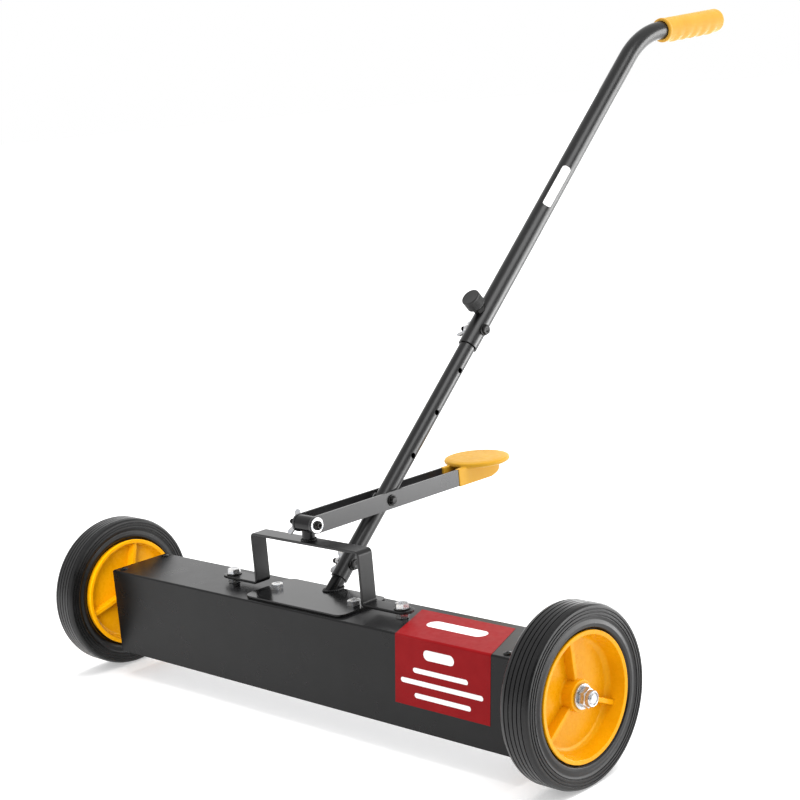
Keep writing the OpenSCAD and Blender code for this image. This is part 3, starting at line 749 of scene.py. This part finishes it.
def wheel_tyre(side):
    """Solid tyre with grooves round its tread and its side walls."""
    node = "wheel_tyre_" + side
    place = SIDES[side]
    (x0, x1), _, (_, radius) = extent(node, place)
    half = (x1 - x0) / 2
    seat = radius - 27
    deep, wide, slant = 1.1, 0.6, 0.35
    # One side of the section, from the seat to the tread's middle: (radius, offset, fillet)
    near = [
        (seat, half - 5.4), (seat + 2.7, half - 5.4, 0.4), (seat + 3.3, half - 2.8, 0.8),
        (seat + 5.2, half - 0.5, 1.2), (seat + 8.2, half, 2), (seat + 12.2, half - 1.1, 3),
        (seat + 14.6, half - 0.1, 0.5)]
    for groove in (15.5, 18.7, 21.7):
        r = seat + groove
        near += [(r - 0.7, half, 0.25), (r - 0.45, half - 0.9, 0.25),
                 (r + 0.45, half - 0.9, 0.25), (r + 0.7, half, 0.25)]
    near += [(radius - 2.4, half - 0.1, 0.8), (radius - 0.9, half - 1.9, 1), (radius, half - 5, 1)]
    for groove in (10, 5):
        near += [(radius, groove + wide, 0.2), (radius - deep, groove + slant, 0.2),
                 (radius - deep, groove - slant, 0.2), (radius, groove - wide, 0.2)]
    near += [(radius, wide, 0.2), (radius - deep, slant, 0.2)]
    far = [(r, -x, *fillet) for r, x, *fillet in reversed(near)]
    outline = rounded(near + far, True, 3)
    piece(node, lathe(outline, 256, True).moved(ALONG_X).at(x=middle((x0, x1))), place, 0, 40)


def wheel_bush(side):
    node = "wheel_bush_" + side
    place = SIDES[side]
    (x0, x1), _, (_, radius) = extent(node, place)
    piece(node, hollow(radius, SHANK_M10 + 0.05, x0, x1, 0.4).moved(ALONG_X), place)


# ---- handle foot, tubes and bolts ----

def weld_bead(path):
    """Rippled bead along a closed path of points with an outward direction."""
    sections = []
    count = len(path)
    for k, (centre, out) in enumerate(path):
        along = (path[(k + 1) % count][0] - path[k - 1][0]).normalized()
        up = along.cross(out)
        ripple = 1 + 0.1 * math.sin(k * 1.35) + 0.12 * noise.noise(centre * 0.9)
        sections.append([centre + (out * x + up * y) * ripple for x, y in circle(BEAD_R, 12)])
    return loft(sections, True)


def foot_weld():
    """Bead where the handle's peg meets the base plate."""
    _, y, (foot, _) = extent("stub_weld")
    half_x = extent("handle_stub")[0][1]
    half_y = half_x / UP_HANDLE.z
    off = 0.5
    path = []
    for c, s in circle(1, 150):
        centre = Vector(((half_x + off) * c, middle(y) + (half_y + off) * s, foot + off))
        path.append((centre, Vector((c / half_x, s / half_y, 0)).normalized()))
    piece("stub_weld", weld_bead(path), crease=60)


def lower_tube():
    """Tube with its row of lock holes, at one pitch from the pivot up to the lock bolt."""
    (_, radius), (s0, s1), _ = extent("handle_lower_tube", HANDLE)
    lock_s = middle(extent("lock_bolt_core", HANDLE)[1])
    holes = 4
    obj = loose(hollow(radius, radius - TUBE_WALL, s0, s1, 0.3, 96).moved(ALONG_Y))
    drill = rod(HOLE_R, -20, 20, 0, 40).moved(ALONG_X)
    combine(obj, joined(drill.at(y=lock_s * i / holes) for i in range(1, holes + 1)), "DIFFERENCE")
    stand_for("handle_lower_tube", obj, HANDLE, 35)


def handle_path(start, tail):
    """Centre line of the upper tube as (y, z, tilt) in the handle's frame, from y = start to
    the length tail past the bend."""
    to_local = HANDLE.inverted()
    way = (to_local.to_3x3() @ GRIP_WAY).normalized()
    point = to_local @ Vector(MOUNTS["hand_grip"]["pos_m"])
    corner = point.y - point.z / way.z * way.y
    angle = -math.atan2(way.z, way.y)
    bend_start = corner - HANDLE_BEND * math.tan(angle / 2)
    straight, bent, last = 12, 32, 4
    path = [(start + (bend_start - start) * k / straight, 0, 0) for k in range(straight)]
    for k in range(bent + 1):
        a = angle * k / bent
        path.append((bend_start + HANDLE_BEND * math.sin(a), HANDLE_BEND * (math.cos(a) - 1), -a))
    y, z, tilt = path[-1]
    for k in range(1, last + 1):
        out = tail * k / last
        path.append((y + out * math.cos(angle), z - out * math.sin(angle), tilt))
    return path


def upper_tube():
    """Bent tube, skinned outside and inside, with a rounded lower end."""
    (_, radius), (start, _), _ = extent("handle_upper_tube", HANDLE)
    grip_high = extent("handle_grip", GRIP)[1][1]
    bend_end = (GRIP.inverted() @ HANDLE @ Vector((0, *handle_path(start, 0)[-1][:2]))).y
    path = handle_path(start, grip_high - GRIP_END - bend_end)
    bore, edge = radius - TUBE_WALL, 0.35
    stations = [(path[0], radius - edge, 0)]
    stations += [(p, radius, edge if k == 0 else 0) for k, p in enumerate(path)]
    stations += [(p, bore, edge if k == 0 else 0) for k, p in enumerate(reversed(path))]
    stations += [(path[0], bore + edge, 0)]
    sections = [[(x, y + ahead - out * math.sin(tilt), z + out * math.cos(tilt))
                 for x, out in circle(r, 72)] for (y, z, tilt), r, ahead in stations]
    piece("handle_upper_tube", loft(sections, True), HANDLE, 0, 35)


def tube_bar():
    """Plain white bar printed on the upper tube, with rounded corners."""
    (_, radius), (foot, _), _ = extent("handle_upper_tube", HANDLE)
    reach, corner, facing = 5.6, 3.0, math.radians(38)
    rows, steps = 40, 12
    sections = []
    for k in range(rows + 1):
        s = MARK_L * k / rows
        left = min(s, MARK_L - s)
        inset = corner - math.sqrt(max(0, corner ** 2 - max(0, corner - left) ** 2))
        half = (reach - inset) / radius
        section = []
        for r, way in ((radius + INK, 1), (radius - INK_ROOT, -1)):
            for i in range(steps + 1):
                a = facing + way * half * (2 * i / steps - 1)
                section.append((r * math.cos(a), foot + MARK_UP + s, r * math.sin(a)))
        sections.append(section)
    body = NODES["handle_upper_tube"]["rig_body"]
    finish_piece(loose(loft(sections, capped=True)), "look_tube_bar", HANDLE, body, WHITE_INK, 60)


def handle_grip():
    """Vinyl grip: an open lip, a smooth top, finger swells below and a rounded closed end."""
    (_, radius), (y0, y1), (z0, _) = extent("handle_grip", GRIP)
    length = y1 - y0
    swell = -z0 - radius
    bore = extent("handle_upper_tube", HANDLE)[0][1] + 0.05
    pitch, first, swells = 19.5, 23.5, 5
    steps, rows, dome, lip = 96, 150, 10.0, 0.8

    def swelling(along, a):
        """Height of the finger swells; angle a is measured from the grip's underside."""
        t = (along - first) / pitch
        if not -0.75 < t < swells - 0.25:
            return 0
        wave = 0.5 + 0.5 * math.cos(TAU * t)
        ends = min(1, (t + 0.75) / 0.5, (swells - 0.25 - t) / 0.5)
        return swell * (wave ** 0.8) * max(0, math.cos(a)) ** 1.5 * max(0, ends)

    def ring(along, reach):
        """Ring of points at a distance along the grip; its radius is a function of the angle."""
        if reach(0) < 0.2:
            return [(0, y0 + along, 0)]
        angles = [TAU * i / steps for i in range(steps)]
        return [(reach(a) * math.sin(a), y0 + along, -reach(a) * math.cos(a)) for a in angles]

    sections = []
    for k in range(rows, -1, -1):
        along = lip + k / rows * (length - lip)
        short = max(0, dome - (length - along)) / dome
        full = math.sqrt(max(0, 1 - short ** 2))
        body = radius - 0.5 + 0.5 * math.exp(-((along - 2.4) / 1.4) ** 2)
        sections.append(ring(along, lambda a: full * (body + swelling(along, a)
                                                      + 0.5 * max(0, math.cos(a)))))
    end = length - GRIP_END
    for r, along in ((radius - 1.6, 0), (bore + 0.5, 0), (bore, 0.6), (bore, end), (0, end)):
        sections.append(ring(along, lambda a: r))
    piece("handle_grip", loft(sections), GRIP, 0, 45)


def flanged_head(top):
    """Flanged M6 hex head about Z, up to z = top."""
    flat = 5.8 * math.cos(TAU / 12)
    seat = top - FLANGED_HEAD
    side, drop = hexagon(flat)
    return lathe([
        (0, seat), (6.8, seat), (7, seat + 0.25), (6.9, seat + 0.6), (6.1, seat + 1.0),
        (side, seat + 1.15), (side, lambda a: top - drop(a)), (CHAMFER * flat, top),
        (0.6 * flat, top), (0.5 * flat, top - 0.3), (0, top - 0.3)], turned=30)


def shank_m6(low, high, tail):
    """M6 shank about Z, with a thread of the length tail at its low end."""
    return rod(SHANK_M6, low + tail, high + 0.2) + thread(SHANK_M6, PITCH_M6, low, low + tail + 0.4)


def stub_bolt():
    (x0, x1), s, _ = extent("stub_bolt", HANDLE)
    shape = flanged_head(x1) + shank_m6(x0, x1 - FLANGED_HEAD, 9)
    piece("stub_bolt", shape.moved(ALONG_X).at(y=middle(s)), HANDLE)


def lock_bolt():
    """Head and tail of the lock bolt, either side of the lower tube."""
    (x0, x1), s, _ = extent("lock_bolt", HANDLE)
    near = extent("handle_upper_tube", HANDLE)[0][1] - TUBE_WALL + 0.2
    shape = (flanged_head(x1) + rod(SHANK_M6, near, x1 - FLANGED_HEAD + 0.2)
             + thread(SHANK_M6, PITCH_M6, x0, -near))
    piece("lock_bolt", shape.moved(ALONG_X).at(y=middle(s)), HANDLE)


def pivot_bolt():
    """Round-headed bolt of the lever, with its nut and spacers."""
    x0, x1 = extent("lever_pivot_bolt", HANDLE)[0]
    washer = x1 - 4.2
    head = lathe(rounded([
        (0, washer), (6.3, washer, 0.2), (6.3, washer + 1.2, 0.3), (5.2, washer + 1.2),
        (5, x1 - 1.6, 0.6), (3.4, x1, 1.5), (0, x1)], False, 4), 64)
    piece("lever_pivot_bolt", (head + shank_m6(x0, washer, 6)).moved(ALONG_X), HANDLE)
    piece("lever_pivot_nut",
          nut(5, SHANK_M6, *extent("lever_pivot_nut", HANDLE)[0], 12).moved(ALONG_X), HANDLE)
    tube = extent("handle_lower_tube", HANDLE)[0][1]
    end = extent("lever_pivot_spacers", HANDLE)[0][1]
    piece("lever_pivot_spacers", hollow(6, SHANK_M6, tube + 0.05, end, 0.2).twinned(), HANDLE)


def wing_nut(node, place, seat_x, tilt):
    """Cast wing nut on an X axis, with its seat at seat_x and its wings towards -X."""
    boss = [(0, 0), (5.4, 0, 0.3), (5.4, 1.4, 0.5), (4.7, 5.5, 0.8), (0, 5.5)]
    body = lathe(rounded(boss, False, 4), 48)
    half = 1.15
    wing = prism(rounded([
        (2.5, 0.9), (8.4, 1.6, 3), (14.3, 4.2, 2.5), (14.2, 9.6, 2.6), (9.8, 10.9, 2.6), (6.4, 7.6, 2),
        (4.2, 5.2, 1), (2.5, 5)], arc=6), -half, half).moved(ALONG_Y)
    obj = loose(body + wing + wing.moved(turn(180, "Z")))
    melt(obj, 0.3, 7)
    combine(obj, rod(SHANK_M6 - 0.02, -2, 8, 0, 32), "DIFFERENCE")
    local = Matrix.Translation((seat_x, 0, 0)) @ turn(tilt, "X") @ FLIP_X @ ALONG_X @ turn(90, "Z")
    stand_for(node, obj, place @ local, 50)


def clamp():
    """Welded nut on the upper tube, clamp screw and knurled knob."""
    s = middle(extent("clamp_screw", HANDLE)[1])
    at_clamp = HANDLE @ Matrix.Translation((0, s, 0))
    low, high = extent("clamp_nut", at_clamp)[2]
    piece("clamp_nut", nut(6.6, SHANK_M8 + 0.4, low + 0.2, high), at_clamp)
    piece("clamp_screw", thread(SHANK_M8, PITCH_M8, *extent("clamp_screw", at_clamp)[2]), at_clamp)
    (_, radius), _, (low, high) = extent("clamp_knob", at_clamp)
    face, bore, socket = low + 1.6, SHANK_M8 + 0.05, low + 4.8
    count, steps, rows, edge = 34, 408, 56, 1.2

    def knurl(a, z):
        """Depth of the crossed grooves, which fade out at both ends."""
        ends = min(1, (z - face - edge) / edge, (high - edge - z) / edge)
        if ends <= 0:
            return 0
        round_by, up_by = count * a / TAU, z * count / (TAU * radius)
        ridge = max(abs((round_by + way * up_by) % 1 - 0.5) for way in (1, -1))
        return 1.7 * max(0, ridge - 0.22) * ends

    outline = [(0, socket), (bore, socket), (bore, low), (5.6, low), (6, low + 0.4), (6, face),
               (radius - 1.8, face), (radius - 1.0, face + 0.2), (radius - 0.3, face + 0.8)]
    for k in range(rows + 1):
        z = face + edge + (high - face - 2 * edge) * k / rows
        outline.append((lambda a, z=z: radius - knurl(a, z), z))
    outline += [(radius - 0.3, high - 0.8), (radius - 1.0, high - 0.25), (radius - 2, high - 0.05),
                (radius - 2.6, high - 0.35), (0, high - 0.35)]
    piece("clamp_knob", lathe(outline, steps), at_clamp, 0, 40)


# ---- magnet lift ----

def lift_bracket():
    """Hat-shaped strap of one width, bent four times, with round feet."""
    (x0, x1), (y0, y1), (z0, z1) = extent("lift_bracket")
    half_w, half_t = (y1 - y0) / 2, STRAP_T / 2
    leg, low, high = STRAP_LEG - half_t, z0 + half_t, z1 - half_t
    centre = rounded([(x0, low), (-leg, low, STRAP_BEND), (-leg, high, STRAP_BEND),
                      (leg, high, STRAP_BEND), (leg, low, STRAP_BEND), (x1, low)], False, 8)
    line = [centre[0]]
    for point in centre[1:]:
        gap = math.dist(line[-1], point)
        parts = max(1, min(40, round(gap / 1.5))) if abs(point[1] - low) < 1e-6 else 1
        start = line[-1]
        line += [(start[0] + (point[0] - start[0]) * k / parts,
                  start[1] + (point[1] - start[1]) * k / parts) for k in range(1, parts + 1)]
    edge = 0.6
    sections = []
    for k, (px, pz) in enumerate(line):
        before, after = line[max(0, k - 1)], line[min(len(line) - 1, k + 1)]
        along = Vector((after[0] - before[0], after[1] - before[1])).normalized()
        out = Vector((-along.y, along.x))
        inset = min(px - x0, x1 - px)
        short = max(0, half_w - inset)
        width = math.sqrt(max(0.01, half_w ** 2 - short ** 2))
        section = rectangle(-width, width, -half_t, half_t, min(edge, width / 2), arc=3)
        sections.append([(px + out.x * v, u, pz + out.y * v) for u, v in section])
    piece("lift_bracket", loft(sections, capped=True), crease=35)


def lift_post():
    """Post and cross sleeve, with the bead round the post's foot."""
    (x0, x1), _, (z0, z1) = extent("lift_post")
    post, bore, pin_z = 6.8, 7.5, PIVOT.z / MM
    obj = loose(rod(post, z0, pin_z - 3, 0.2, 64))
    combine(obj, rod(z1 - pin_z, x0, x1, 0.5, 72).moved(ALONG_X).at(z=pin_z), "UNION")
    combine(obj, rod(bore, x0 - 5, x1 + 5, 0, 64).moved(ALONG_X).at(z=pin_z), "DIFFERENCE")
    stand_for("lift_post", obj, crease=35)
    rise = Vector((0, 0, extent("lift_post_weld")[2][0] + 0.5))
    ways = [Vector((c, s, 0)) for c, s in circle(1, 120)]
    piece("lift_post_weld", weld_bead([(out * (post + 0.6) + rise, out) for out in ways]), crease=60)


def lift_washers():
    (x0, x1), (_, radius), (z0, z1) = extent("lift_bolt_washers")
    ring = hollow(radius, SHANK_M8, z0, z1)
    piece("lift_bolt_washers", ring.at(x=x0 + radius) + ring.at(x=x1 - radius))


# ---- lever ----

def lever_bars():
    for side in ("left", "right"):
        node = "lever_bar_" + side
        x, (y0, y1), (z0, z1) = extent(node, LEVER)
        outline = rounded([(y0, z0, z1 - 0.05), (y0, z1, z1 - 0.05), (y1, z1), (y1, z0)], arc=16)
        piece(node, prism(outline, *x).moved(ALONG_X), LEVER, 0.45)


def lever_pad():
    """Moulded pad: a round plate on a body that forks round the two bars."""
    (_, radius), (y0, y1), (z0, z1) = extent("lever_pad", LEVER)
    half, tail, fork_half, fork_top, over = 15, 302, 8.6, 9.8, 5
    disc = lathe(rounded([
        (0, z1 - 11), (15, z1 - 11), (19, z1 - 8.6, 6), (radius - 4.5, z1 - 7.2, 2),
        (radius, z1 - 4.6, 2.6), (radius - 1.6, z1 - 1.2, 2.4), (radius - 7, z1 - 0.1, 4),
        (0, z1)], False), 128)
    outline = rounded([
        (y0, z0, 1.2), (tail - 22, z0, 14), (tail - 2, z0 + 7, 8), (tail, z1 - 5),
        (y0 + 30, z1 - 5), (y0 + 14, fork_top), (y0, fork_top, 1.2)], arc=6)
    obj = loose(prism(outline, -half, half).moved(ALONG_X))
    plan = rectangle(-half, half, y0 - over, tail, 0, half - 0.1, 10)
    combine(obj, prism(plan, z0 - over, z1 + over), "INTERSECT")
    trough = rectangle(-fork_half, fork_half, y0 - over, y0 + 36, 0, 6, 6)
    combine(obj, prism(trough, z0 + 4, z1 + over), "DIFFERENCE")
    combine(obj, disc.at(y=y1 - radius), "UNION")
    melt(obj, 0.6, 5)
    stand_for("lever_pad", obj, LEVER, 60)


def lever_front():
    """Front bolt with a button head and its bright washer; its wing nut is made with the other wing nuts.
    """
    x0, x1 = extent("lever_front_bolt", LEVER)[0]
    seat = x1 - 4
    socket, _ = hexagon(1.9)
    head = lathe([
        (0, seat), (4.7, seat), (5, seat + 0.3), (5, seat + 1.6), (4.7, seat + 2.6), (4, seat + 3.4),
        (3.1, seat + 3.9), (2.5, seat + 4), (socket, seat + 3.8), (socket, seat + 1.8), (0, seat + 1.5)])
    piece("lever_front_bolt", (head + shank_m6(x0, seat, 9)).moved(ALONG_X), LEVER)
    (x0, x1), (_, radius), _ = extent("lever_front_washer", LEVER)
    piece("lever_front_washer", hollow(radius, SHANK_M6, x0, x1, 0.35).moved(ALONG_X), LEVER)


def lever_rivets():
    x, (y0, y1), _ = extent("lever_pad_rivets", LEVER)
    rivet = rod((y1 - y0) / 2, *x, 0.4).moved(ALONG_X)
    piece("lever_pad_rivets", rivet.at(y=middle((y0, y1))), LEVER)


housing()
for kept in ("bottom_cover", "end_plate_left", "end_plate_right", "magnet_carrier", "magnets",
             "handle_stub", "lock_bolt_core"):
    keep(kept)
keep("warning_label", 0.05)
end_screws()
label_bars()
base_plate()
hex_bolts("base_plate_bolts", extent("base_plate")[2][1], turns=(20, 8))
paired_nuts("base_plate_nuts")
axles()
for wheel in SIDES:
    wheel_hub(wheel)
    wheel_tyre(wheel)
    wheel_bush(wheel)
foot_weld()
lower_tube()
upper_tube()
tube_bar()
handle_grip()
stub_bolt()
lock_bolt()
pivot_bolt()
clamp()
for bolt, tube, tilt in (("stub", "lower", -81), ("lock", "upper", 75)):
    bolt_place = HANDLE @ Matrix.Translation((0, middle(extent(bolt + "_bolt", HANDLE)[1]), 0))
    tube_side = -extent("handle_" + tube + "_tube", HANDLE)[0][1]
    wing_nut(bolt + "_wing_nut", bolt_place, tube_side - 0.2, tilt)
wing_nut("lever_wing_nut", LEVER, extent("lever_bar_left", LEVER)[0][0], -34)
lift_bracket()
lift_post()
lift_washers()
hex_bolts("lift_bolts", extent("lift_bolt_washers")[2][1], turns=(12, 26))
paired_nuts("lift_foot_nuts")
carrier_top = extent("magnet_carrier")[2][1]
carrier_sheet = 2.0
carrier_base = carrier_top - carrier_sheet
paired_nuts("carrier_nuts", [(carrier_top, carrier_top + NUT_M8), (carrier_base - NUT_M8, carrier_base)])
lever_bars()
lever_pad()
lever_front()
lever_rivets()


# ---- stage ----

def camera():
    """Long lens from the front right, about as high as the handle's grip, slightly rolled."""
    place, lens = (1.31085, -1.15865, 0.65389), 76.68
    azimuth, elevation, roll = (math.radians(a) for a in (44.96, 10.4, -5.1))
    level = math.cos(elevation)
    back = Vector((math.sin(azimuth) * level, -math.cos(azimuth) * level, math.sin(elevation)))
    right = (-back).cross(Vector((0, 0, 1))).normalized()
    up = right.cross(-back)
    across = right * math.cos(roll) + up * math.sin(roll)
    rise = up * math.cos(roll) - right * math.sin(roll)
    data = bpy.data.cameras.new("camera")
    data.lens = lens
    data.sensor_width = 36
    obj = new_object("camera", data)
    turned = Matrix((across, rise, back)).transposed().to_4x4()
    obj.matrix_world = Matrix.Translation(place) @ turned
    bpy.context.scene.camera = obj


def aim(obj, place, target):
    """Puts an object at a place, with its -Z towards the target."""
    obj.location = place
    obj.rotation_euler = (Vector(target) - Vector(place)).to_track_quat("-Z", "Y").to_euler()


def area_light(name, place, target, size, power, glossy=False, only=()):
    """Rectangular light that the camera doesn't see: it shows in reflections only, or else
    everywhere but there. It can be kept to some pieces."""
    data = bpy.data.lights.new(name, "AREA")
    data.shape = "RECTANGLE"
    data.size, data.size_y = size
    data.energy = power
    obj = new_object(name, data)
    aim(obj, place, target)
    obj.visible_camera = False
    obj.visible_glossy = glossy
    obj.visible_diffuse = not glossy
    if only:
        lit = bpy.data.collections.new(name + "_pieces")
        for piece_name in only:
            lit.objects.link(bpy.data.objects[piece_name])
        obj.light_linking.receiver_collection = lit


def sun_light(name, source, strength):
    """Soft overhead light that makes no highlights."""
    data = bpy.data.lights.new(name, "SUN")
    data.energy = strength
    data.angle = math.radians(50)
    obj = new_object(name, data)
    obj.rotation_euler = Vector(source).to_track_quat("Z", "Y").to_euler()
    obj.visible_glossy = False


def flat_sheet(name, half_x, half_y, material):
    """Rectangle about the origin."""
    mesh = bpy.data.meshes.new(name)
    corners = [(x, y, 0) for x, y in rectangle(-half_x, half_x, -half_y, half_y)]
    mesh.from_pydata(corners, [], [(0, 1, 2, 3)])
    mesh.materials.append(material)
    return new_object(name, mesh)


def flag(name, place, target, size):
    """Dark card that only shows in reflections."""
    card = Finish(name + "_card", Specular_IOR_Level=0.0)
    card.colour(card.grain(200, 1), (0.02, 0.02, 0.02), (0.025, 0.025, 0.025))
    obj = flat_sheet(name, size[0] / 2, size[1] / 2, card.material)
    aim(obj, place, target)
    obj.visible_camera = False
    obj.visible_diffuse = False
    obj.visible_shadow = False
    obj.visible_transmission = False


def studio():
    """White world, lights that follow the highlights wanted, and a pale floor."""
    scene = bpy.context.scene
    scene.view_settings.view_transform = "Standard"
    world = bpy.data.worlds.new("studio")
    world.use_nodes = True
    world.node_tree.nodes["Background"].inputs["Color"].default_value = (1, 1, 1, 1)
    world.node_tree.nodes["Background"].inputs["Strength"].default_value = 1.0
    scene.world = world
    sun_light("overhead", (0.35, 0.5, 2.2), 3.4)
    area_light("right_softbox", (1.5, 1.5, 0.8), (0, 0, 0.15), (1.7, 1.6), 9)
    area_light("left_snoot", (-0.03, -0.46, 0.38), (-0.34, -0.05, 0.11), (0.25, 0.25), 4.8,
               only=["look_wheel_hub_left"])
    area_light("right_sheen", (0.66, 0.56, 0.17), (0, 0.05, 0.17), (0.9, 0.34), 4.8, True)
    tubes = ["look_handle_lower_tube", "look_handle_upper_tube"]
    area_light("handle_sheen", (0.7, 1.22, 0.32), (0, 0.4, 0.5), (0.7, 1.2), 30, True, tubes)
    area_light("handle_glow", (0.7, 0.2, 1.45), (0, 0.4, 0.5), (1.2, 0.7), 16, True, tubes)
    area_light("wheel_sheen", (-0.2, 2.3, 0.5), (0.35, 0, 0.15), (2.2, 1.2), 13, True)
    area_light("back_sheen", (-1.6, 1.9, 0.75), (0, 0, 0.3), (3.4, 1.5), 9, True)
    flag("front_flag", (1.7, -1.7, 1.0), (0, 0.1, 0.5), (2.6, 2.0))

    f = Finish("pale_floor", Specular_IOR_Level=0.15)
    f.shader.inputs["Emission Color"].default_value = (1, 1, 1, 1)
    f.shader.inputs["Emission Strength"].default_value = 0.35
    f.colour(f.ramp(f.grain(300, 2), 0, 1), (0.75, 0.75, 0.75), (0.76, 0.76, 0.76))
    f.roughness(f.grain(200, 2), 0.75, 0.8)
    half = 40.0
    floor = flat_sheet("floor", half, half, f.material)


camera()
studio()
